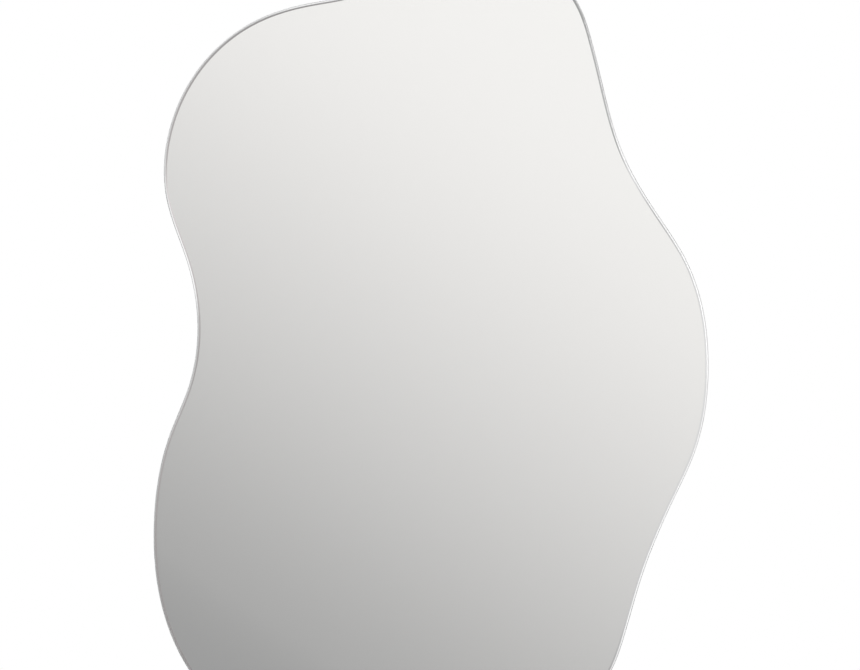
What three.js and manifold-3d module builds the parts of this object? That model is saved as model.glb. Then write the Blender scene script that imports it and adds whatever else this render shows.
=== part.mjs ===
// Frameless wall mirror with a free, wavy outline.
// Millimetres. X runs right and Z up as seen from the front, the wall is the plane y = 0
// and the glass faces -Y. The origin is the centre of the glass outline, on the wall.
// From the wall outwards: ring hangers and rubber bumpers, backing board, foam tape,
// safety film, silver coating, glass.

import * as THREE from 'three';
import { mergeVertices } from 'three/addons/utils/BufferGeometryUtils.js';
import Module from 'manifold-3d';

const wasm = await Module();
wasm.setup();

// Glass
const GLASS_WIDTH = 550;
const GLASS_HEIGHT = 800;
const GLASS_THICKNESS = 5;
const POLISH_REACH = 3; // how far the rounded, polished edge comes in from the rim
const RIM_LAND = 0.4; // flat left at the middle of the rounded edge

// Layers behind the glass
const SILVER_THICKNESS = 0.1;
const FILM_THICKNESS = 0.2;
const FILM_SETBACK = 1.5; // the film stops this far inside the silver
const TAPE_THICKNESS = 1;
const TAPE_WIDTH = 25;
const TAPE_STRIPS = 6;
const TAPE_END_MARGIN = 20; // board left bare beyond each end of a strip
const TAPE_FIRST_DROP = 55; // top or bottom of the board to the middle of the outer strips

// Backing board
const BOARD_THICKNESS = 12;
const BOARD_SETBACK = 28; // the board stops this far inside the rim of the glass
const BOARD_EASED_EDGE = 1.5;

// Ring hangers: a D-shaped wire ring that swings in the rolled eye of a steel strap
const RING_WIRE = 3;
const RING_INSIDE_WIDTH = 20;
const RING_INSIDE_DROP = 14;
const RING_CORNER_RADIUS = 3.5; // of the middle line of the wire
const RING_BUTT_GAP = 0.6; // between the two ends of the wire, inside the eye
const EYE_CLEARANCE = 0.3;
const EYE_SIDE_PLAY = 1.5; // eye to the start of the ring's corners
const EYE_WRAP = THREE.MathUtils.degToRad(280);
const STRAP_THICKNESS = 1.2;
const STRAP_END_MARGIN = 7; // last screw to the rounded end
const HANGER_DROP = 195; // top of the glass to the axis of the rings
const HANGER_EDGE_DISTANCE = 32; // nearest side of the board to the middle of a strap
const HANGER_WALL_GAP = 1; // rolled eye to the wall

// Pan head wood screws
const SCREW_DIAMETER = 3.5;
const SCREW_POINT = 3;
const SCREW_COVER = 3.2; // board left in front of the point
const SCREW_CLEARANCE = 0.3;
const SCREW_PITCH = 12;
const SCREW_RING_GAP = 1; // hanging ring to the first screw head
const HEAD_DIAMETER = 7;
const HEAD_HEIGHT = 2.2;
const HEAD_RIM = 0.7; // straight side under the dome of the head
const RECESS_SPAN = 3.8;
const RECESS_SLOT = 0.8;
const RECESS_DEPTH = 1.2;

// Rubber bumpers
const BUMPER_DIAMETER = 16;
const BUMPER_FACE_DIAMETER = 10;
const BUMPER_SKIRT = 1.5; // straight side at the foot of the dome
const BUMPER_EDGE_DISTANCE = 24; // side of the board to the middle of a bumper
const BUMPER_TOP_DROP = 105; // top of the glass to the upper pair
const BUMPER_BOTTOM_RISE = 105; // bottom of the glass to the lower pair

// Facets
const SPAN_STEPS = 8; // between two points of the template
const POLISH_STEPS = 4;
const EYE_STEPS = 20;
const RING_STEPS = 44;
const WIRE_SIDES = 10;
const HOLE_SIDES = 16;
const SCREW_SIDES = 16;
const BUMPER_SIDES = 24;
const DOME_STEPS = 4;

// Outline of the glass on a 550 x 800 template, clockwise from the top, as [x, z]
const TEMPLATE = [
  [59, 400], // crest of the upper lobe
  [118, 373.5],
  [149, 333.5], // its right shoulder
  [159.5, 302],
  [169, 264], // turns hollow
  [189, 194],
  [223, 133], // turns full
  [254.5, 82.5],
  [275, -26.5], // side of the right lobe
  [262, -103.5],
  [242, -148.5], // turns hollow
  [209.5, -226.5],
  [191.5, -287.5], // turns full
  [162.5, -344.5], // lower right corner
  [99, -370.5],
  [-44, -399.5], // lowest point
  [-219.5, -346.5],
  [-264.5, -267],
  [-274.5, -168.5], // side of the lower left lobe
  [-260, -90], // turns hollow
  [-240, -39],
  [-231.5, 14.5], // left waist
  [-241.5, 82.5],
  [-262.5, 147], // turns full
  [-262.5, 200.5], // side of the upper left lobe
  [-231, 274.5],
  [-181, 319],
  [-123, 339.5], // turns hollow
  [-79, 348],
  [-29.5, 369],
];
const RELAX_PASSES = 40;

// Reach of the rolled eye from the ring axis, and what follows from it
const EYE_BORE = RING_WIRE / 2 + EYE_CLEARANCE;
const EYE_REACH = EYE_BORE + STRAP_THICKNESS;
const STRAP_WIDTH = RING_INSIDE_WIDTH + RING_WIRE - 2 * (RING_CORNER_RADIUS + EYE_SIDE_PLAY);
const RING_DROP = RING_INSIDE_DROP + 1.5 * RING_WIRE; // axis to the underside of the bow
const FIRST_SCREW_DROP = RING_DROP + SCREW_RING_GAP + HEAD_DIAMETER / 2;
const LAST_SCREW_DROP = FIRST_SCREW_DROP + SCREW_PITCH;
const STRAP_DROP = LAST_SCREW_DROP + STRAP_END_MARGIN;
const HOLE_RADIUS = SCREW_DIAMETER / 2 + SCREW_CLEARANCE;

// Distances from the wall to the back of each layer
const BUMPER_HEIGHT = 2 * EYE_REACH + HANGER_WALL_GAP;
const BOARD_BACK = BUMPER_HEIGHT;
const TAPE_BACK = BOARD_BACK + BOARD_THICKNESS;
const FILM_BACK = TAPE_BACK + TAPE_THICKNESS;
const SILVER_BACK = FILM_BACK + FILM_THICKNESS;
const GLASS_BACK = SILVER_BACK + SILVER_THICKNESS;
const RING_AXIS = BOARD_BACK - EYE_REACH;
const STRAP_FACE = BOARD_BACK - STRAP_THICKNESS;

function finish(color, roughness, metalness) {
  return new THREE.MeshStandardMaterial({ color, roughness, metalness });
}

const clearGlass = finish('#d3dad7', 0.04, 0);
const silver = finish('#d9dad8', 0.03, 1);
const greyFilm = finish('#c4c9cb', 0.45, 0);
const whiteFoam = finish('#e4e2dc', 0.9, 0);
const darkBoard = finish('#33302d', 0.75, 0);
const zincSteel = finish('#b4b7ba', 0.32, 1);
const darkRubber = finish('#2b2c2e', 0.7, 0);

// ---- Outline ----

// Cubic pieces of one closed curve through the points. Each tangent is relaxed against its
// two neighbours until the bend runs on smoothly through every point.
function smoothClosedCurve(points) {
  const count = points.length;
  const following = (i) => (i + 1) % count;
  const preceding = (i) => (i + count - 1) % count;
  const spans = points.map((point, i) => point.distanceTo(points[following(i)]));
  const tangents = points.map(() => new THREE.Vector2());
  for (let pass = 0; pass < RELAX_PASSES; pass += 1) {
    points.forEach((point, i) => {
      const before = 1 / spans[preceding(i)];
      const after = 1 / spans[i];
      tangents[i]
        .subVectors(point, points[preceding(i)])
        .multiplyScalar(3 * before * before)
        .addScaledVector(points[following(i)].clone().sub(point), 3 * after * after)
        .addScaledVector(tangents[preceding(i)], -before)
        .addScaledVector(tangents[following(i)], -after)
        .divideScalar(2 * (before + after));
    });
  }
  return points.map((start, i) => {
    const end = points[following(i)];
    const handle = spans[i] / 3;
    const leaving = start.clone().addScaledVector(tangents[i], handle);
    const arriving = end.clone().addScaledVector(tangents[following(i)], -handle);
    return new THREE.CubicBezierCurve(start, leaving, arriving, end);
  });
}

// Points of the rim with their outward directions, stretched to the glass size and centred.
function glassRim() {
  const pieces = smoothClosedCurve(TEMPLATE.map(([x, z]) => new THREE.Vector2(x, z)));
  const samples = pieces.flatMap((piece) => Array.from({ length: SPAN_STEPS }, (_, k) => ({
    point: piece.getPoint(k / SPAN_STEPS),
    along: piece.getTangent(k / SPAN_STEPS),
  })));
  const extent = new THREE.Box2().setFromPoints(samples.map(({ point }) => point));
  const centre = extent.getCenter(new THREE.Vector2());
  const size = extent.getSize(new THREE.Vector2());
  const stretch = new THREE.Vector2(GLASS_WIDTH / size.x, GLASS_HEIGHT / size.y);
  return samples.map(({ point, along }) => {
    const direction = along.multiply(stretch).normalize();
    return {
      point: point.sub(centre).multiply(stretch),
      outward: new THREE.Vector2(-direction.y, direction.x),
    };
  });
}

const rim = glassRim();

// The rim moved in by a setback.
function outline(setback) {
  return rim.map(({ point, outward }) => point.clone().addScaledVector(outward, -setback));
}

const boardOutline = outline(BOARD_SETBACK);

// Middle of the area inside an outline, about which a plate of that outline hangs level.
function balance(points) {
  const centre = new THREE.Vector2();
  let area = 0;
  points.forEach((start, i) => {
    const end = points[(i + 1) % points.length];
    const slice = start.cross(end);
    area += slice;
    centre.addScaledVector(start, slice).addScaledVector(end, slice);
  });
  return centre.divideScalar(3 * area);
}

// Left and right limits that the board keeps over a band of heights.
function boardWidth(low, high) {
  const heights = boardOutline.map((point) => point.y).filter((z) => z > low && z < high);
  const limits = [low, high, ...heights].map((level) => {
    const crossings = boardOutline.flatMap((start, i) => {
      const end = boardOutline[(i + 1) % boardOutline.length];
      if (start.y > level === end.y > level) return [];
      return [THREE.MathUtils.mapLinear(level, start.y, end.y, start.x, end.x)];
    });
    return { left: Math.min(...crossings), right: Math.max(...crossings) };
  });
  return {
    left: Math.max(...limits.map(({ left }) => left)),
    right: Math.min(...limits.map(({ right }) => right)),
  };
}

// ---- Shaping ----

const right = new THREE.Vector3(1, 0, 0);
const toWall = new THREE.Vector3(0, 1, 0);
const toFront = new THREE.Vector3(0, -1, 0);
const up = new THREE.Vector3(0, 0, 1);
const frontView = new THREE.Matrix4().makeBasis(right, up, toFront);
const sideView = new THREE.Matrix4().makeBasis(toWall, up, right);

// A plate cut to an outline, with its back on y = 0. The edge of both faces is rounded off by
// edge.reach in the plane and edge.depth through the thickness.
function plate(points, thickness, edge = { reach: 0, depth: 0, steps: 0 }) {
  const geometry = new THREE.ExtrudeGeometry(new THREE.Shape(points), {
    depth: thickness - 2 * edge.depth,
    bevelEnabled: edge.reach > 0,
    bevelSize: edge.reach,
    bevelOffset: -edge.reach,
    bevelThickness: edge.depth,
    bevelSegments: edge.steps,
  });
  return geometry.translate(0, 0, edge.depth).applyMatrix4(frontView);
}

function solid(geometry) {
  const bare = geometry.clone();
  bare.deleteAttribute('normal');
  bare.deleteAttribute('uv');
  const merged = mergeVertices(bare);
  return new wasm.Manifold(new wasm.Mesh({
    numProp: 3,
    vertProperties: merged.attributes.position.array,
    triVerts: new Uint32Array(merged.index.array),
  }));
}

function surface(manifold) {
  const { vertProperties, triVerts } = manifold.getMesh();
  const geometry = new THREE.BufferGeometry();
  geometry.setAttribute('position', new THREE.BufferAttribute(vertProperties, 3));
  geometry.setIndex(new THREE.BufferAttribute(triVerts, 1));
  geometry.computeVertexNormals();
  return geometry;
}

// Quarter of an ellipse, from the straight side of a turned piece up to its flat or closed top.
function dome(innerRadius, outerRadius, foot, top) {
  const width = outerRadius - innerRadius;
  return new THREE.EllipseCurve(innerRadius, foot, width, top - foot, 0, Math.PI / 2).getPoints(DOME_STEPS);
}

function piece(name, geometry, material, { x = 0, fromWall = 0, z = 0 } = {}) {
  const mesh = new THREE.Mesh(geometry, material);
  mesh.name = name;
  mesh.position.set(x, -fromWall, z);
  return mesh;
}

// ---- Places of what is fixed to the board ----

const hangerHeight = GLASS_HEIGHT / 2 - HANGER_DROP;
const boardAtHangers = boardWidth(hangerHeight - STRAP_DROP, hangerHeight + EYE_REACH);
const middle = balance(outline(0)).x;
const shorterSide = Math.min(middle - boardAtHangers.left, boardAtHangers.right - middle);
const hangerOffset = shorterSide - HANGER_EDGE_DISTANCE;
const hangers = [
  { side: 'left', x: middle - hangerOffset },
  { side: 'right', x: middle + hangerOffset },
];
const screws = hangers.flatMap(({ side, x }) => [
  { name: `strap_screw_${side}_upper`, x, z: hangerHeight - FIRST_SCREW_DROP },
  { name: `strap_screw_${side}_lower`, x, z: hangerHeight - LAST_SCREW_DROP },
]);

const bumperRows = [
  { row: 'upper', z: GLASS_HEIGHT / 2 - BUMPER_TOP_DROP },
  { row: 'lower', z: BUMPER_BOTTOM_RISE - GLASS_HEIGHT / 2 },
];
const bumpers = bumperRows.flatMap(({ row, z }) => {
  const board = boardWidth(z - BUMPER_DIAMETER / 2, z + BUMPER_DIAMETER / 2);
  return [
    { name: `wall_bumper_${row}_left`, x: board.left + BUMPER_EDGE_DISTANCE, z },
    { name: `wall_bumper_${row}_right`, x: board.right - BUMPER_EDGE_DISTANCE, z },
  ];
});

// ---- Pieces ----

function glass() {
  const depth = (GLASS_THICKNESS - RIM_LAND) / 2;
  return plate(outline(0), GLASS_THICKNESS, { reach: POLISH_REACH, depth, steps: POLISH_STEPS });
}

// Level strips of tape, each as long as the board allows at its height.
function tapeStrips() {
  const heights = boardOutline.map((point) => point.y);
  const top = Math.max(...heights) - TAPE_FIRST_DROP;
  const bottom = Math.min(...heights) + TAPE_FIRST_DROP;
  return Array.from({ length: TAPE_STRIPS }, (_, i) => {
    const z = THREE.MathUtils.lerp(top, bottom, i / (TAPE_STRIPS - 1));
    const board = boardWidth(z - TAPE_WIDTH / 2, z + TAPE_WIDTH / 2);
    const length = board.right - board.left - 2 * TAPE_END_MARGIN;
    const strip = new THREE.BoxGeometry(length, TAPE_THICKNESS, TAPE_WIDTH);
    const place = { x: (board.left + board.right) / 2, fromWall: TAPE_BACK + TAPE_THICKNESS / 2, z };
    return piece(`mounting_tape_${i + 1}`, strip, whiteFoam, place);
  });
}

// The board with a blind pilot hole for each screw.
function board() {
  const easing = { reach: BOARD_EASED_EDGE, depth: BOARD_EASED_EDGE, steps: 1 };
  const holeDepth = BOARD_THICKNESS - SCREW_COVER + SCREW_CLEARANCE;
  let body = solid(plate(boardOutline, BOARD_THICKNESS, easing));
  screws.forEach(({ x, z }) => {
    const bit = new THREE.CylinderGeometry(HOLE_RADIUS, HOLE_RADIUS, 2 * holeDepth, HOLE_SIDES);
    body = body.subtract(solid(bit.translate(x, 0, z)));
  });
  return surface(body);
}

// A strip rolled round the ring at its top, rounded at its foot and drilled for two screws.
// The ring axis is the origin.
function strap() {
  const lip = Math.PI - EYE_WRAP;
  const side = new THREE.Shape();
  side.moveTo(-EYE_REACH, -STRAP_DROP);
  side.absarc(0, 0, EYE_REACH, Math.PI, lip, true);
  side.absarc(0, 0, EYE_BORE, lip, Math.PI, false);
  side.lineTo(-EYE_BORE, -STRAP_DROP);
  const rolling = { depth: STRAP_WIDTH, bevelEnabled: false, curveSegments: EYE_STEPS / 2 };
  const rolled = new THREE.ExtrudeGeometry(side, rolling).translate(0, 0, -STRAP_WIDTH / 2);

  const half = STRAP_WIDTH / 2;
  const front = new THREE.Shape();
  front.moveTo(half, 2 * EYE_REACH);
  front.lineTo(-half, 2 * EYE_REACH);
  front.absarc(0, half - STRAP_DROP, half, Math.PI, 2 * Math.PI, false);
  front.holes = [FIRST_SCREW_DROP, LAST_SCREW_DROP]
    .map((drop) => new THREE.Path().absarc(0, -drop, HOLE_RADIUS, 0, 2 * Math.PI));
  const stamping = { depth: 4 * EYE_REACH, bevelEnabled: false, curveSegments: HOLE_SIDES / 2 };
  const stamped = new THREE.ExtrudeGeometry(front, stamping).translate(0, 0, -2 * EYE_REACH);
  return surface(solid(rolled.applyMatrix4(sideView)).intersect(solid(stamped.applyMatrix4(frontView))));
}

// Bent wire that hangs from its straight bar, its two ends butted in the eye.
// The axis of the bar is the origin.
function ring() {
  const half = (RING_INSIDE_WIDTH + RING_WIRE) / 2;
  const bar = half - RING_CORNER_RADIUS;
  const bow = RING_INSIDE_DROP + RING_WIRE - RING_CORNER_RADIUS;
  const bend = new THREE.Path();
  bend.moveTo(RING_BUTT_GAP / 2, 0);
  bend.lineTo(bar, 0);
  bend.absarc(bar, -RING_CORNER_RADIUS, RING_CORNER_RADIUS, Math.PI / 2, 0, true);
  bend.absellipse(0, -RING_CORNER_RADIUS, half, bow, 0, -Math.PI, true);
  bend.absarc(-bar, -RING_CORNER_RADIUS, RING_CORNER_RADIUS, Math.PI, Math.PI / 2, true);
  bend.lineTo(-RING_BUTT_GAP / 2, 0);
  const line = bend.getSpacedPoints(RING_STEPS).map(({ x, y }) => new THREE.Vector3(x, 0, y));
  const section = new THREE.Shape().absarc(0, 0, RING_WIRE / 2, 0, 2 * Math.PI);
  return new THREE.ExtrudeGeometry(section, {
    extrudePath: new THREE.CatmullRomCurve3(line),
    steps: RING_STEPS,
    curveSegments: WIRE_SIDES / 2,
  });
}

// Head towards the wall, with its seat on y = 0.
function screw() {
  const length = STRAP_THICKNESS + BOARD_THICKNESS - SCREW_COVER;
  const radius = SCREW_DIAMETER / 2;
  const profile = [
    new THREE.Vector2(0, -length),
    new THREE.Vector2(radius, SCREW_POINT - length),
    new THREE.Vector2(radius, 0),
    new THREE.Vector2(HEAD_DIAMETER / 2, 0),
    ...dome(0, HEAD_DIAMETER / 2, HEAD_RIM, HEAD_HEIGHT),
  ];
  let body = solid(new THREE.LatheGeometry(profile, SCREW_SIDES));
  [[RECESS_SPAN, RECESS_SLOT], [RECESS_SLOT, RECESS_SPAN]].forEach(([width, height]) => {
    const slot = new THREE.BoxGeometry(width, 2 * RECESS_DEPTH, height).translate(0, HEAD_HEIGHT, 0);
    body = body.subtract(solid(slot));
  });
  return surface(body);
}

// Dome with a flat face for the wall, its foot on y = 0.
function bumper() {
  const foot = [new THREE.Vector2(0, 0), new THREE.Vector2(BUMPER_DIAMETER / 2, 0)];
  const side = dome(BUMPER_FACE_DIAMETER / 2, BUMPER_DIAMETER / 2, BUMPER_SKIRT, BUMPER_HEIGHT);
  return new THREE.LatheGeometry([...foot, ...side, new THREE.Vector2(0, BUMPER_HEIGHT)], BUMPER_SIDES);
}

// ---- Assembly ----

const group = new THREE.Group();
const silverOutline = outline(POLISH_REACH);
const filmOutline = outline(POLISH_REACH + FILM_SETBACK);
group.add(
  piece('mirror_glass', glass(), clearGlass, { fromWall: GLASS_BACK }),
  piece('silver_coating', plate(silverOutline, SILVER_THICKNESS), silver, { fromWall: SILVER_BACK }),
  piece('safety_film', plate(filmOutline, FILM_THICKNESS), greyFilm, { fromWall: FILM_BACK }),
  ...tapeStrips(),
  piece('backing_board', board(), darkBoard, { fromWall: BOARD_BACK }),
);
hangers.forEach(({ side, x }) => {
  const place = { x, fromWall: RING_AXIS, z: hangerHeight };
  group.add(
    piece(`hanger_strap_${side}`, strap(), zincSteel, place),
    piece(`hanger_ring_${side}`, ring(), zincSteel, place),
  );
});
screws.forEach(({ name, x, z }) => {
  group.add(piece(name, screw(), zincSteel, { x, fromWall: STRAP_FACE, z }));
});
bumpers.forEach(({ name, x, z }) => {
  group.add(piece(name, bumper(), darkRubber, { x, fromWall: BOARD_BACK, z }));
});

export default group;
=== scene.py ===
import math

import bmesh
import bpy
from mathutils import Matrix, Vector


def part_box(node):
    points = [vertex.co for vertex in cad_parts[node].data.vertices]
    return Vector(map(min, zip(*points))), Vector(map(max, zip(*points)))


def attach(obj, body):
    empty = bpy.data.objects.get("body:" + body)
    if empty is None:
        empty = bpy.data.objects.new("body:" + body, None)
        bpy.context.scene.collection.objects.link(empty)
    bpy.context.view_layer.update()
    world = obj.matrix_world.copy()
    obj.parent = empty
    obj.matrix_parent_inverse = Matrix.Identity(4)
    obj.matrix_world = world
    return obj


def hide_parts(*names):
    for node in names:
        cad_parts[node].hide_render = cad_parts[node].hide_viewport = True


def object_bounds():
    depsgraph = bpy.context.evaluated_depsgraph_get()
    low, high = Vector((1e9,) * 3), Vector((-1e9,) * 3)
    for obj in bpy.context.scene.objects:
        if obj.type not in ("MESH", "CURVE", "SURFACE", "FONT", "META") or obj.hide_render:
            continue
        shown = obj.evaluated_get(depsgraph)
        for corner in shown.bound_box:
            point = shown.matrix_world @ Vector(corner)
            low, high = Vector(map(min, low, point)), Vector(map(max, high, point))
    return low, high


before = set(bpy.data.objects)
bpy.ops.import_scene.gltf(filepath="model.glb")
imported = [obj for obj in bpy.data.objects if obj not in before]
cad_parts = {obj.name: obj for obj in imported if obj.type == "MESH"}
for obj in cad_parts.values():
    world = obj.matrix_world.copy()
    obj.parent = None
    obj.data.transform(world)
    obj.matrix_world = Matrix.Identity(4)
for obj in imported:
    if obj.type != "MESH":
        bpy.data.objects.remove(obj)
cad_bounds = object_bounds()
MM = 0.001

# ---- Camera ----
# The mirror is seen square on, from far enough that the lens draws it flat.
# The photograph's centre lies a little above the middle of the glass.

PHOTO_WIDTH = 860
MM_PER_PIXEL = 0.9913
VIEW_CENTRE = (-1.06 * MM, 11.12 * MM)
LENS = 135
SENSOR = 36
VIEW_DEPTH = 50

rim_low, rim_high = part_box("mirror_glass")
rim_plane = (rim_low.y + rim_high.y) / 2
lens = bpy.data.cameras.new("camera")
lens.lens = LENS
lens.sensor_width = SENSOR
lens.clip_end = VIEW_DEPTH
camera = bpy.data.objects.new("camera", lens)
camera_distance = PHOTO_WIDTH * MM_PER_PIXEL * MM * LENS / SENSOR
camera.location = (VIEW_CENTRE[0], rim_plane - camera_distance, VIEW_CENTRE[1])
camera.rotation_euler = (math.radians(90), 0, 0)
bpy.context.scene.collection.objects.link(camera)
bpy.context.scene.camera = camera
bpy.context.scene.view_settings.view_transform = "Standard"

# ---- Studio ----
# A white surround, a pale floor well below the mirror and three soft boxes.
# The surround lights the object less than it shows, so white pieces keep their tone.


class Value:
    """A number, point or colour inside a material. Arithmetic on it adds Math nodes."""

    def __init__(self, tree, socket):
        self.tree = tree
        self.socket = socket

    def node(self, kind, settings, inputs, output=0):
        return add_node(self.tree, kind, settings, inputs, output)

    def maths(self, operation, *others):
        values = dict(enumerate((self, *others)))
        return self.node("ShaderNodeMath", {"operation": operation}, values)

    def __add__(self, other):
        return self.maths("ADD", other)

    def __sub__(self, other):
        return self.maths("SUBTRACT", other)

    def __mul__(self, other):
        return self.maths("MULTIPLY", other)

    def __truediv__(self, other):
        return self.maths("DIVIDE", other)

    def __abs__(self):
        return self.maths("ABSOLUTE")

    def root(self):
        return self.maths("SQRT")

    def above(self, low, high):
        """0 below low, 1 above high, with a soft change between; low may be the larger."""
        settings = {"interpolation_type": "SMOOTHSTEP"}
        limits = {0: self, 1: low, 2: high, 3: 0.0, 4: 1.0}
        return self.node("ShaderNodeMapRange", settings, limits)

    def blend(self, first, second):
        """A colour between two others, by this value."""
        ends = [tone if isinstance(tone, Value) else (*tone, 1) for tone in (first, second)]
        mixed = {0: self, 6: ends[0], 7: ends[1]}
        return self.node("ShaderNodeMix", {"data_type": "RGBA"}, mixed, 2)

    def ramp(self, stops, interpolation="LINEAR"):
        """A colour that runs through stops, each of them a place from 0 to 1 and a tone."""
        colour = self.node("ShaderNodeValToRGB", {}, {0: self})
        band = colour.socket.node.color_ramp
        band.interpolation = interpolation
        band.elements[0].position, band.elements[1].position = stops[0][0], stops[-1][0]
        for place, tone in stops[1:-1]:
            band.elements.new(place)
        for element, (place, tone) in zip(band.elements, stops):
            element.color = (*tone, 1)
        return colour

    def axes(self):
        """The X, Y and Z of this point."""
        split = self.node("ShaderNodeSeparateXYZ", {}, {0: self}).socket.node
        return [Value(self.tree, socket) for socket in split.outputs]

    def stretched(self, *factors):
        """This point with each of its axes multiplied by its own factor."""
        return self.node("ShaderNodeMapping", {}, {0: self, 3: factors})

    def noise(self, scale, detail=2.0, roughness=0.5):
        """Cloudy noise over this point, around a half; scale counts its clouds in a metre."""
        settings = {0: self, "Scale": scale, "Detail": detail, "Roughness": roughness}
        return self.node("ShaderNodeTexNoise", {}, settings)

    def bump(self, strength, distance):
        """The surface normal, tilted as if this value were the height of the surface."""
        settings = {"Strength": strength, "Distance": distance, "Height": self}
        return self.node("ShaderNodeBump", {}, settings)


def add_node(tree, kind, settings, inputs, output=0):
    """Adds a node, with its settings and inputs, and returns one of its outputs."""
    node = tree.nodes.new(kind)
    for name, setting in settings.items():
        setattr(node, name, setting)
    for name, given in inputs.items():
        if isinstance(given, Value):
            tree.links.new(given.socket, node.inputs[name])
        else:
            node.inputs[name].default_value = given
    return Value(tree, node.outputs[output]) if len(node.outputs) else None


def object_point(tree):
    return add_node(tree, "ShaderNodeTexCoord", {}, {}, "Object")


def new_finish(name, **constants):
    """A material with one shader whose fixed values are set on its own sockets."""
    material = bpy.data.materials.new(name)
    material.use_nodes = True
    shader = material.node_tree.nodes["Principled BSDF"]
    for socket, constant in constants.items():
        shader.inputs[socket.replace("_", " ")].default_value = constant
    return material, shader, object_point(material.node_tree)


def wire(shader, socket, value):
    value.tree.links.new(value.socket, shader.inputs[socket])


def new_piece(name, mesh_data, materials):
    mesh = bpy.data.meshes.new(name)
    mesh_data.to_mesh(mesh)
    mesh_data.free()
    for material in materials:
        mesh.materials.append(material)
    piece = bpy.data.objects.new(name, mesh)
    bpy.context.scene.collection.objects.link(piece)
    return piece


AMBIENT = 0.55

world = bpy.data.worlds.new("studio_surround")
world.use_nodes = True
bpy.context.scene.world = world
world.node_tree.nodes.clear()
from_camera = add_node(world.node_tree, "ShaderNodeLightPath", {}, {}, "Is Camera Ray")
rays = from_camera.socket.node.outputs
glossy = Value(world.node_tree, rays["Is Glossy Ray"])
through = Value(world.node_tree, rays["Is Transmission Ray"])
seen = (from_camera + glossy + through).maths("MINIMUM", 1)
glow = {"Color": (1, 1, 1, 1), "Strength": seen * (1 - AMBIENT) + AMBIENT}
surround = seen.node("ShaderNodeBackground", {}, glow)
seen.node("ShaderNodeOutputWorld", {}, {"Surface": surround})

# The key box has no image in glass or metal, where it would burn a blotch into the polished edge.
SOFT_BOXES = [  # name, place, side, watts, whether glass and metal reflect it
    ("key_box", (-2.2, -2.4, 2.2), 1.6, 60, False),
    ("side_box", (2.6, -1.6, 0.6), 1.6, 30, True),
    ("back_box", (-1.4, 2.6, 1.8), 1.8, 70, True),
]
for name, place, side, watts, reflected in SOFT_BOXES:
    lamp = bpy.data.lights.new(name, "AREA")
    lamp.shape = "SQUARE"
    lamp.size = side
    lamp.energy = watts
    soft_box = bpy.data.objects.new(name, lamp)
    soft_box.location = place
    soft_box.rotation_euler = (-Vector(place)).to_track_quat("-Z", "Y").to_euler()
    soft_box.visible_transmission = False
    soft_box.visible_glossy = reflected
    bpy.context.scene.collection.objects.link(soft_box)

FLOOR_DROP = 0.6
FLOOR_RADIUS = 3.0
FLOOR_SIDES = 96
FLOOR_FADE = (1.2, 2.9)

floor_mesh = bmesh.new()
bmesh.ops.create_circle(
    floor_mesh, cap_ends=True, segments=FLOOR_SIDES, radius=FLOOR_RADIUS,
    matrix=Matrix.Translation((0, 0, cad_bounds[0].z - FLOOR_DROP)),
)
floor_paint, floor_shader, point = new_finish("floor_paint", Roughness=0.7)
x, y, _ = point.axes()
speckle = point.noise(scale=40.0, detail=4.0)
wire(floor_shader, "Base Color", speckle.blend((0.84, 0.84, 0.83), (0.88, 0.88, 0.87)))
reach = (x * x + y * y).root()
from_camera = add_node(point.tree, "ShaderNodeLightPath", {}, {}, "Is Camera Ray")
seen_far = reach.above(*FLOOR_FADE) * from_camera
horizon = point.node("ShaderNodeEmission", {}, {"Color": (1, 1, 1, 1), "Strength": 1.0})
own_surface = Value(point.tree, floor_shader.outputs[0])
faded = point.node("ShaderNodeMixShader", {}, {0: seen_far, 1: own_surface, 2: horizon})
wire(point.tree.nodes["Material Output"], "Surface", faded)
floor = new_piece("studio_floor", floor_mesh, [floor_paint])

# ---- Reflector and flags ----
# A large lit card behind the camera, grey at its lower left and white at its upper right, gives
# the face its slanting gradient. A second card close behind the mirror, with grey flags on it,
# draws the rounded edge of the glass. Only glossy and refracted light sees either of them.

REFLECTOR_DISTANCE = 4.5
REFLECTOR_SIZE = 14.0
SLANT = (0.555, 0.832)
GRADIENT_SPAN = 0.8
GRADIENT = [  # place from the lower left to the upper right, tone
    (0.0, (0.345, 0.346, 0.349)),
    (0.1, (0.407, 0.406, 0.407)),
    (0.3, (0.583, 0.580, 0.578)),
    (0.5, (0.752, 0.746, 0.741)),
    (0.7, (0.905, 0.897, 0.889)),
    (0.9, (0.962, 0.955, 0.947)),
    (1.0, (0.966, 0.960, 0.952)),
]
REFLECTOR_FADE = (1.3, 4.6)
FAR_TONE = (0.70, 0.695, 0.69)


def lit_card(name, distance, size, paint):
    """A square card across the line of sight; paint turns x and z on it into a colour."""
    mesh = bmesh.new()
    upright = Matrix.Translation((0, distance, 0)) @ Matrix.Rotation(math.radians(90), 4, "X")
    bmesh.ops.create_grid(mesh, x_segments=1, y_segments=1, size=size / 2, matrix=upright)
    material = bpy.data.materials.new(name + "_paint")
    material.use_nodes = True
    material.node_tree.nodes.clear()
    x, _, z = object_point(material.node_tree).axes()
    light = x.node("ShaderNodeEmission", {}, {"Color": paint(x, z), "Strength": 1.0})
    x.node("ShaderNodeOutputMaterial", {}, {"Surface": light})
    card = new_piece(name, mesh, [material])
    card.visible_camera = False
    card.visible_diffuse = False
    card.visible_shadow = False
    card.visible_volume_scatter = False


def slanting_gradient(x, z):
    """The gradient, as wide as the mirror shows it from the camera, and an even tone far out."""
    spread = 1 + REFLECTOR_DISTANCE / camera_distance
    along = (x * SLANT[0] + z * SLANT[1]) / spread
    gradient = ((along + GRADIENT_SPAN / 2) / GRADIENT_SPAN).ramp(GRADIENT, "B_SPLINE")
    return (x * x + z * z).root().above(*REFLECTOR_FADE).blend(gradient, FAR_TONE)


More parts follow.
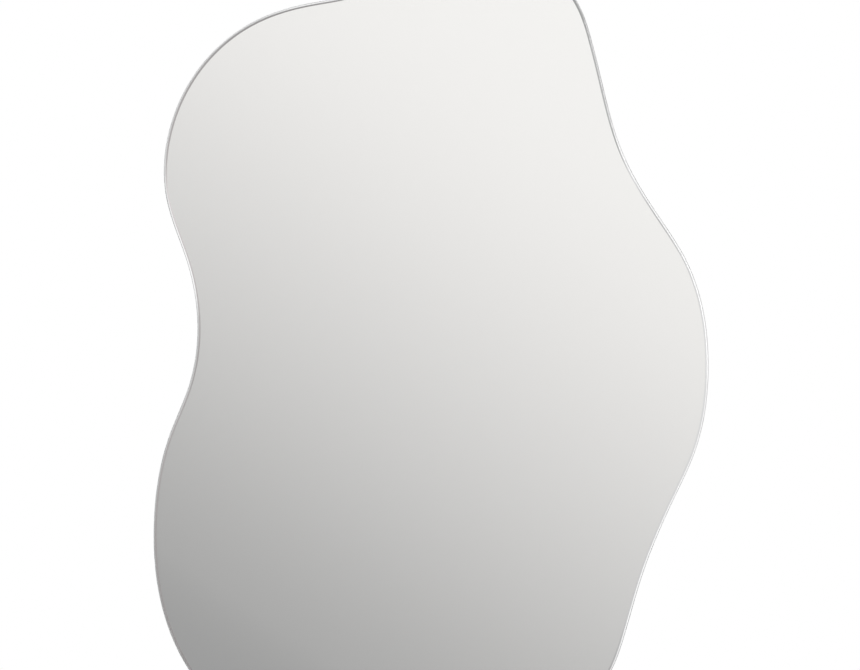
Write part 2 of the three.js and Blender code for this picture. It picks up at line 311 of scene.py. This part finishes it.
FLAG_DISTANCE = 0.2
FLAG_CARD_SIZE = 1.0
FLAG_SPAN = 0.8
LEFT_FLAG = [  # height, how far out the rim is there, tone beside the rim, tone further in
    (-0.34, 0.225, 0.25, 0.20),
    (-0.10, 0.262, 0.40, 0.60),
    (-0.02, 0.238, 0.34, 0.50),
    (0.03, 0.234, 0.41, 0.54),
    (0.08, 0.243, 0.52, 1.0),
    (0.165, 0.264, 0.70, 1.0),
    (0.195, 0.263, 0.43, 0.6),
    (0.29, 0.217, 0.29, 0.36),
    (0.34, 0.123, 0.24, 0.6),
]
RIGHT_FLAG = [
    (-0.34, 0.166, 0.36, 0.25),
    (-0.28, 0.194, 0.58, 1.0),
    (0.00, 0.274, 0.72, 1.0),
    (0.08, 0.256, 0.64, 1.0),
    (0.12, 0.232, 0.44, 1.0),
    (0.165, 0.203, 0.74, 1.0),
    (0.20, 0.187, 0.39, 0.75),
    (0.30, 0.160, 0.43, 0.50),
    (0.34, 0.145, 0.30, 0.33),
]
NEUTRAL = (1, 1, 1)
ROSY = (1.0, 0.95, 0.95)
BESIDE_RIM = (0.070, 0.042)
HALVES_MEET = (-0.06, 0.02)
CREST_SIDE = (-0.145, -0.115)
CREST_TOP = (0.295, 0.275)
CREST_FOOT = (0.20, 0.225)


def flags(x, z):
    """Tones that change with height, one beside the rim and one further in, on either side."""
    height = z / FLAG_SPAN + 0.5
    halves = []
    for flag, side, tint in ((LEFT_FLAG, -1, ROSY), (RIGHT_FLAG, 1, NEUTRAL)):
        columns = []
        for column, colour in ((1, NEUTRAL), (2, tint), (3, NEUTRAL)):
            places = [row[0] / FLAG_SPAN + 0.5 for row in flag]
            tones = [[row[column] * part for part in colour] for row in flag]
            columns.append(height.ramp(list(zip(places, tones))))
        rim, beside, further = columns
        halves.append((rim - x * side).above(*BESIDE_RIM).blend(further, beside))
    under_crest = x.above(*CREST_SIDE) * z.above(*CREST_TOP) * z.above(*CREST_FOOT)
    left_half = under_crest.blend(halves[0], NEUTRAL)
    return x.above(*HALVES_MEET).blend(left_half, halves[1])


lit_card("reflector_card", -REFLECTOR_DISTANCE, REFLECTOR_SIZE, slanting_gradient)
lit_card("flag_card", FLAG_DISTANCE, FLAG_CARD_SIZE, flags)

# ---- Glass ----
# Clear float glass cut to the wavy outline, its edge ground to a half round and polished.
# The edge is bevelled round on a deeper slab, which is then pressed to the depth of the glass.

POLISH_REACH = 3 * MM
RIM_LAND = 0.4 * MM
LOOP_CUTS = 3
SMOOTHING = 8
ROUNDING_SEGMENTS = 10
MERGE = 0.01 * MM
COPLANAR = math.radians(0.1)
SQUARE_CORNER = math.radians(60)
HAZE_BAND = (1.5 * MM, 0.9 * MM)

glass_low, glass_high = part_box("mirror_glass")
glass_depth = glass_high.y - glass_low.y
glass_middle = (glass_high.y + glass_low.y) / 2
polish_depth = (glass_depth - RIM_LAND) / 2


def rim_loop(node, depth):
    """The rim of a plate of the solid model at one depth, as a closed line smoothed all along."""
    loop = bmesh.new()
    loop.from_mesh(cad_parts[node].data)
    bmesh.ops.remove_doubles(loop, verts=loop.verts, dist=MERGE)
    bmesh.ops.dissolve_limit(loop, angle_limit=COPLANAR, verts=loop.verts, edges=loop.edges)
    elsewhere = [vert for vert in loop.verts if abs(vert.co.y - depth) > MERGE]
    bmesh.ops.delete(loop, geom=elsewhere, context="VERTS")
    bmesh.ops.delete(loop, geom=list(loop.faces), context="FACES_ONLY")
    bmesh.ops.subdivide_edges(loop, edges=loop.edges, cuts=LOOP_CUTS)
    for turn in range(SMOOTHING):
        bmesh.ops.smooth_vert(loop, verts=loop.verts, factor=0.5, use_axis_x=True, use_axis_z=True)
    return loop


def slab(loop, front, back):
    """Fills a rim loop and gives it its thickness, from its front to its back."""
    for vert in loop.verts:
        vert.co.y = front
    sheet = bmesh.ops.contextual_create(loop, geom=loop.edges)["faces"]
    grown = bmesh.ops.extrude_face_region(loop, geom=sheet, use_keep_orig=True)["geom"]
    cap = [part for part in grown if isinstance(part, bmesh.types.BMVert)]
    bmesh.ops.translate(loop, verts=cap, vec=(0, back - front, 0))
    bmesh.ops.recalc_face_normals(loop, faces=loop.faces)
    return loop


def rounded(mesh, reach, segments):
    """Rounds the edges between the faces and the side of a slab, and smooths all but the faces."""
    corners = [edge for edge in mesh.edges if edge.calc_face_angle(0) > SQUARE_CORNER]
    bmesh.ops.bevel(
        mesh, geom=corners, offset=reach, offset_type="OFFSET", segments=segments, profile=0.5,
        affect="EDGES", material=-1,
    )
    for face in mesh.faces:
        face.smooth = True
    for edge in mesh.edges:
        edge.smooth = all(len(face.verts) == 4 for face in edge.link_faces)


deepening = POLISH_REACH / polish_depth
half_depth = glass_depth * deepening / 2
rim_line = rim_loop("mirror_glass", glass_middle + RIM_LAND / 2)
glass_mesh = slab(rim_line, glass_middle - half_depth, glass_middle + half_depth)
rounded(glass_mesh, POLISH_REACH, ROUNDING_SEGMENTS)
to_middle = Matrix.Translation((0, -glass_middle, 0))
bmesh.ops.scale(glass_mesh, verts=glass_mesh.verts, vec=(1, 1 / deepening, 1), space=to_middle)
for face in glass_mesh.faces:
    face.material_index = 0 if len(face.verts) > 4 else 1
flat_faces = [face for face in glass_mesh.faces if face.material_index == 0]
back_face = max(flat_faces, key=lambda face: face.calc_center_median().y)
silvered = [vert.co.copy() for vert in back_face.verts]

clear, clear_shader, point = new_finish(
    "clear_glass", Base_Color=(0.99, 0.99, 0.987, 1), IOR=1.52, Transmission_Weight=1.0
)
wiping = point.noise(scale=9.0)
wire(clear_shader, "Roughness", wiping.above(0.35, 0.8) * 0.012)

polished, polished_shader, point = new_finish(
    "polished_edge", Base_Color=(0.995, 0.995, 0.995, 1), IOR=1.52, Transmission_Weight=1.0
)
_, y, _ = point.axes()
polish_lines = point.stretched(60, 4000, 60).noise(scale=1.0)
haze = abs(y - glass_middle).above(*HAZE_BAND)
wire(polished_shader, "Roughness", haze * 0.75 + polish_lines * 0.06 + 0.05)
wire(polished_shader, "Normal", polish_lines.bump(strength=0.08, distance=0.02 * MM))
glass = new_piece("glass_plate", glass_mesh, [clear, polished])
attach(glass, "mirror")
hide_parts("mirror_glass")

# ---- Silver coating ----
# A bright metal layer on the back of the glass, sealed with grey paint. It starts where the
# rounded edge ends, and is sunk a little into the glass so that the two share no face.

SINK = 0.04 * MM

silver_low, silver_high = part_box("silver_coating")
silver_mesh = bmesh.new()
outline = [silver_mesh.verts.new(co) for co in silvered]
for start, end in zip(outline, outline[1:] + outline[:1]):
    silver_mesh.edges.new((start, end))
slab(silver_mesh, silver_low.y - SINK, silver_high.y)
for face in silver_mesh.faces:
    face.material_index = 0 if face.normal.y < -0.5 else 1

bright, bright_shader, point = new_finish("bright_silver", Metallic=1.0, Roughness=0.0)
bloom = point.noise(scale=3.0, detail=1.0)
wire(bright_shader, "Base Color", bloom.blend((0.950, 0.948, 0.940), (0.953, 0.952, 0.945)))

paint, paint_shader, point = new_finish("back_paint")
curtain = point.noise(scale=700.0, detail=3.0)
wire(paint_shader, "Base Color", curtain.blend((0.27, 0.29, 0.29), (0.35, 0.37, 0.37)))
wire(paint_shader, "Roughness", curtain * 0.2 + 0.42)
wire(paint_shader, "Normal", curtain.bump(strength=0.3, distance=0.1 * MM))
silver = new_piece("silver_layer", silver_mesh, [bright, paint])
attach(silver, "mirror")
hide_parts("silver_coating")

# ---- Safety film ----
# Pale grey polythene film with a woven scrim in it, stuck over the paint so that broken glass
# stays together. It stops just inside the silver.

SCRIM_PITCH = 5 * MM
THREAD = 0.35 * MM

film_low, film_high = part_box("safety_film")
film_mesh = slab(rim_loop("safety_film", film_low.y), film_low.y, film_high.y)
woven, woven_shader, point = new_finish("woven_film")
x, _, z = point.axes()
warp, weft = [axis.maths("PINGPONG", SCRIM_PITCH / 2).above(THREAD, THREAD / 2) for axis in (x, z)]
scrim = warp.maths("MAXIMUM", weft)
creases = point.noise(scale=22.0, detail=3.0)
wire(woven_shader, "Base Color", scrim.blend((0.50, 0.53, 0.545), (0.66, 0.68, 0.69)))
wire(woven_shader, "Roughness", creases * 0.25 + 0.3)
relief = scrim * 0.6 + creases * 2.0
wire(woven_shader, "Normal", relief.bump(strength=0.6, distance=0.2 * MM))
film = new_piece("backing_film", film_mesh, [woven])
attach(film, "mirror")
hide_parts("safety_film")

# ---- Foam tape ----
# Six level strips of white double-sided foam tape that hold the board to the film.
# Their cut ends and edges show in the gap round the board.

foam, foam_shader, point = new_finish("tape_foam")
cells = point.node("ShaderNodeTexVoronoi", {}, {0: point, "Scale": 2600.0}, "Distance")
wire(foam_shader, "Base Color", cells.blend((0.62, 0.61, 0.58), (0.86, 0.85, 0.82)))
wire(foam_shader, "Roughness", cells * 0.2 + 0.75)
wire(foam_shader, "Normal", cells.bump(strength=0.6, distance=0.2 * MM))
for node in sorted(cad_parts):
    if node.startswith("mounting_tape"):
        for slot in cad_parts[node].material_slots:
            slot.material = foam

# ---- Backing board ----
# A sheet of fibreboard that follows the outline of the glass, its corners eased with a router
# and all of it painted black. It is taped to the film and carries the hangers and bumpers.

EASING = 1.5 * MM
EASING_SEGMENTS = 4

board_low, board_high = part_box("backing_board")
board_loop = rim_loop("backing_board", board_low.y + EASING)
board_mesh = slab(board_loop, board_low.y, board_high.y)
rounded(board_mesh, EASING, EASING_SEGMENTS)
painted, painted_shader, point = new_finish("painted_fibreboard")
stipple = point.noise(scale=520.0, detail=4.0, roughness=0.6)
rolling = point.noise(scale=7.0, detail=4.0)
fibres = point.noise(scale=1500.0)
scuffs = fibres.above(0.60, 0.66) * rolling.above(0.52, 0.66)
flat_black = rolling.blend((0.030, 0.029, 0.028), (0.056, 0.053, 0.050))
speckled_black = stipple.above(0.40, 0.66).blend(flat_black, (0.064, 0.061, 0.057))
wire(painted_shader, "Base Color", scuffs.blend(speckled_black, (0.105, 0.096, 0.084)))
wire(painted_shader, "Roughness", stipple * 0.35 + rolling * 0.15 + 0.3)
wire(painted_shader, "Normal", stipple.bump(strength=0.7, distance=0.4 * MM))
board = new_piece("painted_board", board_mesh, [painted])
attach(board, "mirror")
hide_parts("backing_board")

# ---- Hanger straps ----
# Two strips of zinc-plated steel, rolled into an eye at the top, rounded at the foot and
# screwed to the board. They are placed either side of the point where the glass balances.

STRAP_EDGE = 0.18 * MM
STRAP_EDGE_SEGMENTS = 2
STRAP_FACET = math.radians(1)
STRAP_CORNER = math.radians(40)
STRAP_CREASE = math.radians(30)

zinc, zinc_shader, point = new_finish("zinc_plated_steel", Metallic=1.0)
spangle = point.noise(scale=260.0, detail=4.0)
drawn = point.stretched(3000, 3000, 90).noise(scale=1.0)
wire(zinc_shader, "Base Color", spangle.blend((0.56, 0.58, 0.60), (0.74, 0.74, 0.73)))
wire(zinc_shader, "Roughness", spangle * 0.22 + drawn * 0.12 + 0.12)
wire(zinc_shader, "Normal", drawn.bump(strength=0.25, distance=0.05 * MM))


def smooth_by_angle(mesh, crease):
    """Smooths a mesh, but leaves the edges sharp where it turns by more than an angle."""
    for face in mesh.faces:
        face.smooth = True
    for edge in mesh.edges:
        edge.smooth = edge.calc_face_angle(0) < crease


def eased_copy(node, reach):
    """A copy of a stamped piece of the solid model with its sharp edges broken."""
    mesh = bmesh.new()
    mesh.from_mesh(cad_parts[node].data)
    bmesh.ops.remove_doubles(mesh, verts=mesh.verts, dist=MERGE)
    bmesh.ops.dissolve_limit(mesh, angle_limit=STRAP_FACET, verts=mesh.verts, edges=mesh.edges)
    corners = [edge for edge in mesh.edges if edge.calc_face_angle(0) > STRAP_CORNER]
    bmesh.ops.bevel(
        mesh, geom=corners, offset=reach, offset_type="OFFSET", segments=STRAP_EDGE_SEGMENTS,
        profile=0.5, affect="EDGES", material=-1, clamp_overlap=True,
    )
    bmesh.ops.remove_doubles(mesh, verts=mesh.verts, dist=MERGE / 100)
    smooth_by_angle(mesh, STRAP_CREASE)
    return mesh


for side in ("left", "right"):
    node = f"hanger_strap_{side}"
    strap = new_piece(f"rolled_strap_{side}", eased_copy(node, STRAP_EDGE), [zinc])
    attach(strap, "mirror")
    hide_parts(node)

# ---- Hanging rings ----
# A D of zinc-plated wire whose straight side turns in the rolled eye of its strap.
# The wire is bent round a form and its ends meet inside the eye.

WIRE_RADIUS = 1.5 * MM
WIRE_SIDES = 6
WIRE_STEPS = 24
BUTT_GAP = 0.6 * MM
CORNER = 3.5 * MM
ARC_HANDLE = 0.5523  # length of the handles of a quarter circle of radius 1


def bent_ring(low, high):
    """Bends a round wire from one butt end, down the right, through the foot and up the left."""
    middle = (low + high) / 2
    half = (high.x - low.x) / 2 - WIRE_RADIUS
    top = high.z - WIRE_RADIUS
    foot = low.z + WIRE_RADIUS
    bow = top - CORNER - foot
    right_half = [  # place, handle before it, handle after it
        ((BUTT_GAP / 2, top), (0, 0), (0, 0)),
        ((half - CORNER, top), (-CORNER * ARC_HANDLE, 0), (CORNER * ARC_HANDLE, 0)),
        ((half, top - CORNER), (0, CORNER * ARC_HANDLE), (0, -bow * ARC_HANDLE)),
        ((0, foot), (half * ARC_HANDLE, 0), (-half * ARC_HANDLE, 0)),
    ]
    left_half = [
        ((-place[0], place[1]), (-after[0], after[1]), (-before[0], before[1]))
        for place, before, after in right_half[2::-1]
    ]
    line = bpy.data.curves.new("ring_line", "CURVE")
    line.dimensions = "3D"
    line.bevel_depth = WIRE_RADIUS
    line.bevel_resolution = WIRE_SIDES
    line.resolution_u = WIRE_STEPS
    line.use_fill_caps = True
    spline = line.splines.new("BEZIER")
    points = right_half + left_half
    spline.bezier_points.add(len(points) - 1)
    for knot, (place, before, after) in zip(spline.bezier_points, points):
        knot.co = (middle.x + place[0], middle.y, place[1])
        knot.handle_left = knot.co + Vector((before[0], 0, before[1]))
        knot.handle_right = knot.co + Vector((after[0], 0, after[1]))
    bent = bpy.data.objects.new("ring_line", line)
    mesh = bmesh.new()
    mesh.from_mesh(bent.to_mesh())
    bpy.data.objects.remove(bent)
    bmesh.ops.remove_doubles(mesh, verts=mesh.verts, dist=MERGE)
    bmesh.ops.recalc_face_normals(mesh, faces=mesh.faces)
    for face in mesh.faces:
        face.smooth = len(face.verts) == 4
    return mesh


for side in ("left", "right"):
    node = f"hanger_ring_{side}"
    ring = new_piece(f"wire_ring_{side}", bent_ring(*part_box(node)), [zinc])
    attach(ring, f"ring_{side}")
    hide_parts(node)

# ---- Strap screws ----
# Pan head wood screws with a cross recess, two through each strap into the board.
# Each is turned from its point to its domed head, and the recess is then sunk with a taper.

SCREW_RADIUS = 1.75 * MM
SCREW_POINT = 3 * MM
SCREW_CREASE = math.radians(32)
HEAD_HEIGHT = 2.2 * MM
HEAD_RIM = 0.7 * MM
RECESS_SPAN = 3.8 * MM
RECESS_SLOT = 0.8 * MM
RECESS_DEPTH = 1.2 * MM
RECESS_TAPER = 0.8
TOP_FACING = 0.3
DOME_STEPS = 8
TURNED_SIDES = 48


def turned(profile, centre):
    """Spins a profile of radius and depth about a line along Y, with closed poles."""
    mesh = bmesh.new()
    line = [mesh.verts.new((centre.x + radius, depth, centre.z)) for radius, depth in profile]
    edges = [mesh.edges.new(pair) for pair in zip(line, line[1:])]
    bmesh.ops.spin(
        mesh, geom=line + edges, cent=(centre.x, 0, centre.z), axis=(0, 1, 0), angle=math.tau,
        steps=TURNED_SIDES, use_merge=True,
    )
    bmesh.ops.remove_doubles(mesh, verts=mesh.verts, dist=MERGE)
    bmesh.ops.recalc_face_normals(mesh, faces=mesh.faces)
    return mesh


def dome(radius, foot, top, face_radius=0):
    """Quarter of an ellipse from the foot of a dome up to its flat or closed top."""
    turns = [math.radians(90) * step / DOME_STEPS for step in range(DOME_STEPS + 1)]
    width = radius - face_radius
    rise = top - foot
    return [(face_radius + width * math.cos(turn), foot + rise * math.sin(turn)) for turn in turns]


def wood_screw(low, high):
    centre = (low + high) / 2
    head_radius = (high.x - low.x) / 2
    seat = high.y - HEAD_HEIGHT
    profile = [
        (0, low.y),
        (SCREW_RADIUS, low.y + SCREW_POINT),
        (SCREW_RADIUS, seat),
        (head_radius, seat),
        *dome(head_radius, seat + HEAD_RIM, high.y),
    ]
    mesh = turned(profile, centre)

    def in_head(part):
        return all(vert.co.y > seat + HEAD_RIM / 2 for vert in part.verts)

    def in_recess(face):
        offset = face.calc_center_median() - centre
        across = sorted((abs(offset.x), abs(offset.z)))
        inside = across[0] < RECESS_SLOT / 2 and across[1] < RECESS_SPAN / 2
        return face.normal.y > TOP_FACING and inside

    for axis, middle in (((1, 0, 0), centre.x), ((0, 0, 1), centre.z)):
        for offset in (-RECESS_SPAN / 2, -RECESS_SLOT / 2, RECESS_SLOT / 2, RECESS_SPAN / 2):
            head = [vert for vert in mesh.verts if vert.co.y > seat + HEAD_RIM / 2]
            head += [part for part in (*mesh.edges, *mesh.faces) if in_head(part)]
            cut = Vector(axis) * (middle + offset)
            bmesh.ops.bisect_plane(mesh, geom=head, dist=MERGE / 10, plane_co=cut, plane_no=axis)

    cross = [face for face in mesh.faces if in_recess(face)]
    grown = bmesh.ops.extrude_face_region(mesh, geom=cross)["geom"]
    sunk = [part for part in grown if isinstance(part, bmesh.types.BMVert)]
    for vert in sunk:
        vert.co.y = high.y - RECESS_DEPTH
    to_centre = Matrix.Translation((-centre.x, 0, -centre.z))
    bmesh.ops.scale(mesh, verts=sunk, vec=(RECESS_TAPER, 1, RECESS_TAPER), space=to_centre)
    bmesh.ops.delete(mesh, geom=[face for face in cross if face.is_valid], context="FACES")
    bmesh.ops.recalc_face_normals(mesh, faces=mesh.faces)
    smooth_by_angle(mesh, SCREW_CREASE)
    return mesh


for side in ("left", "right"):
    for place in ("upper", "lower"):
        node = f"strap_screw_{side}_{place}"
        screw = new_piece(f"pan_head_screw_{side}_{place}", wood_screw(*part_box(node)), [zinc])
        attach(screw, "mirror")
        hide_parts(node)

# ---- Wall bumpers ----
# Four moulded rubber domes stuck to the board, which keep the mirror off the wall and stop it
# from sliding. Each has a flat face for the wall and a short straight skirt.

BUMPER_FACE = 5 * MM
BUMPER_SKIRT = 1.5 * MM
BUMPER_CREASE = math.radians(50)

rubber, rubber_shader, point = new_finish("moulded_rubber")
grain = point.noise(scale=1800.0, detail=3.0)
bloom = point.noise(scale=120.0, detail=3.0)
wire(rubber_shader, "Base Color", bloom.blend((0.009, 0.009, 0.010), (0.026, 0.026, 0.028)))
wire(rubber_shader, "Roughness", grain * 0.2 + bloom * 0.2 + 0.22)
wire(rubber_shader, "Normal", grain.bump(strength=0.35, distance=0.1 * MM))
for row in ("upper", "lower"):
    for side in ("left", "right"):
        node = f"wall_bumper_{row}_{side}"
        low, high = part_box(node)
        radius = (high.x - low.x) / 2
        shoulder = dome(radius, low.y + BUMPER_SKIRT, high.y, BUMPER_FACE)
        profile = [(0, low.y), (radius, low.y), *shoulder, (0, high.y)]
        bumper_mesh = turned(profile, (low + high) / 2)
        smooth_by_angle(bumper_mesh, BUMPER_CREASE)
        bumper = new_piece(f"rubber_dome_{row}_{side}", bumper_mesh, [rubber])
        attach(bumper, "mirror")
        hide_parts(node)
